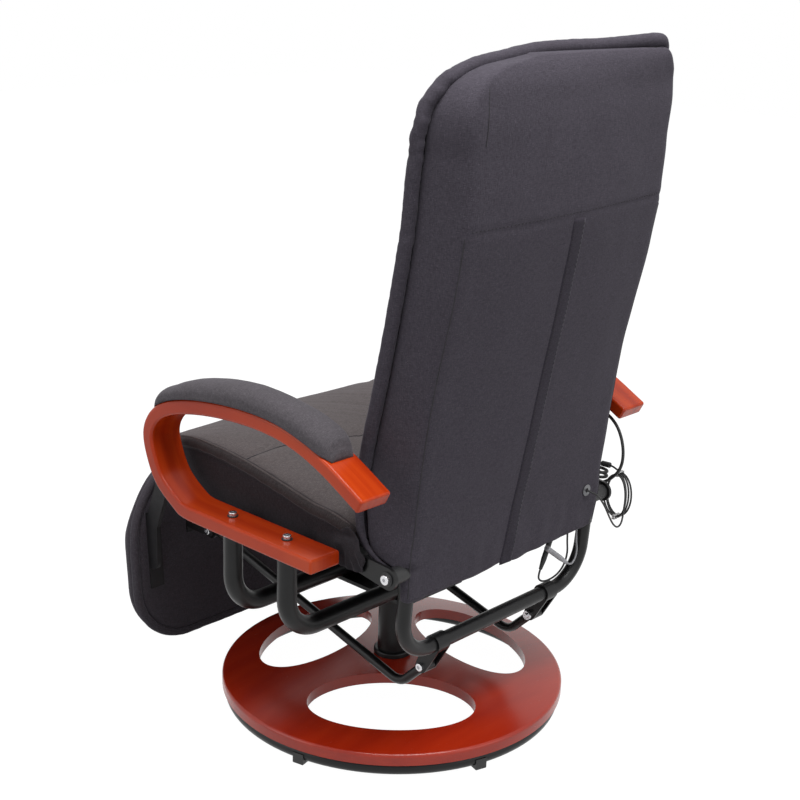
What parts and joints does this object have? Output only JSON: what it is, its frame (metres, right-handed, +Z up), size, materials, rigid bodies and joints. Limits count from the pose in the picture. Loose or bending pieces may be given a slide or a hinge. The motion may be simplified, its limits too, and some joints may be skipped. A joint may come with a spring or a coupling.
{
  "type": "reclining massage armchair",
  "caption": "Swivel massage armchair on a round wooden base with bentwood loop arms, a reclining padded back, a linked leg rest and a wired handset in a side pocket.",
  "frame": {"origin": "on the floor under the swivel post", "axes": "+Z up, the sitter faces -Y, the sitter's left hand is at +X"},
  "size_m": [0.6334, 0.7185, 1.034],
  "materials": {
    "cherry_wood": "gloss lacquer, red cherry stain",
    "charcoal_fabric": "woven, charcoal with pale flecks",
    "black_steel": "satin black",
    "bright_steel": "bright",
    "black_plastic": "matte black",
    "dark_board": "board faced with dark cloth",
    "black_cord": "matte black jacket",
    "grey_cord": "matte grey jacket",
    "clear_tie": "translucent",
    "bearing_plastic": "natural nylon"
  },
  "bodies": {
    "base": {"base_disc": "cherry_wood", "base_ring": "black_steel", "base_spider": "black_steel", "base_glides": "black_plastic", "base_screws": "bright_steel", "base_post": "black_steel", "post_collar": "black_steel", "swivel_bushes": "bearing_plastic"},
    "seat": {"swivel_spindle": "bright_steel", "swivel_plate": "black_steel", "frame_tube_front": "black_steel", "frame_tube_rear": "black_steel", "carrier_bars": "black_steel", "seat_frame": "black_steel", "seat_board": "dark_board", "seat_motor": "black_plastic", "seat_cushion": "charcoal_fabric", "arm_left": "cherry_wood", "arm_right": "cherry_wood", "arm_pad_left": "charcoal_fabric", "arm_pad_right": "charcoal_fabric", "arm_bolts": "bright_steel", "bolt_washers": "black_plastic", "hinge_plates": "black_steel", "pivot_bolts": "bright_steel", "leg_hinge_ears": "black_steel", "handset_pocket": "charcoal_fabric", "handset_case": "black_plastic", "handset_relief": "black_plastic", "handset_cord": "black_cord", "handset_cord_loops": "black_cord", "cord_joint": "black_cord", "lead_start": "black_cord", "lead_hank": "black_cord", "lead_tail": "black_cord", "cord_ties": "clear_tie"},
    "handset_key_upper": {"handset_key_2": "black_plastic"},
    "handset_key_lower": {"handset_key_1": "black_plastic"},
    "backrest": {"back_frame": "black_steel", "back_cross_bars": "black_steel", "back_motors": "black_plastic", "back_pad": "charcoal_fabric", "back_cover": "charcoal_fabric", "closure_strip": "charcoal_fabric", "recline_bushes": "black_plastic", "link_clevises": "black_steel", "clevis_bolts": "bright_steel", "cord_eyelet": "bright_steel", "black_lead": "black_cord", "grey_lead": "grey_cord", "black_connector": "black_cord", "grey_connector": "grey_cord"},
    "link_left": {"link_left": "black_steel"},
    "link_right": {"link_right": "black_steel"},
    "leg_rest": {"leg_board": "dark_board", "leg_pad": "charcoal_fabric", "leg_arms": "black_steel", "leg_brackets": "black_steel", "leg_link_pins": "bright_steel"}
  },
  "joints": [
    {"name": "swivel", "type": "hinge", "parent": "base", "child": "seat", "pos_m": [0, 0, 0.19], "axis": [0, 0, 1], "continuous": true},
    {"name": "recline", "type": "hinge", "parent": "seat", "child": "backrest", "pos_m": [0, 0.212, 0.34], "axis": [-1, 0, 0], "range_deg": [0, 32], "deforming": ["lead_tail"]},
    {"name": "leg_rest_lift", "type": "hinge", "parent": "seat", "child": "leg_rest", "pos_m": [0, -0.3, 0.338], "axis": [-1, 0, 0], "range_deg": [0, 51.3]},
    {"name": "link_left_pivot", "type": "hinge", "parent": "backrest", "child": "link_left", "pos_m": [0.124, 0.182, 0.16], "axis": [-1, 0, 0], "range_deg": [-33.5, 0]},
    {"name": "link_right_pivot", "type": "hinge", "parent": "backrest", "child": "link_right", "pos_m": [-0.124, 0.182, 0.16], "axis": [-1, 0, 0], "range_deg": [-33.5, 0]},
    {"name": "key_upper_press", "type": "slide", "parent": "seat", "child": "handset_key_upper", "axis": [-1, 0, 0], "range_m": [0, 0.0008], "stiffness_N_per_m": 900, "springref_m": -0.0006},
    {"name": "key_lower_press", "type": "slide", "parent": "seat", "child": "handset_key_lower", "axis": [-1, 0, 0], "range_m": [0, 0.0008], "stiffness_N_per_m": 900, "springref_m": -0.0006}
  ],
  "couplings": [
    {"joint": "leg_rest_lift", "follows": "recline", "ratio": 1.6},
    {"joint": "link_left_pivot", "follows": "recline", "ratio": -1.0425},
    {"joint": "link_right_pivot", "follows": "recline", "ratio": -1.0425}
  ]
}
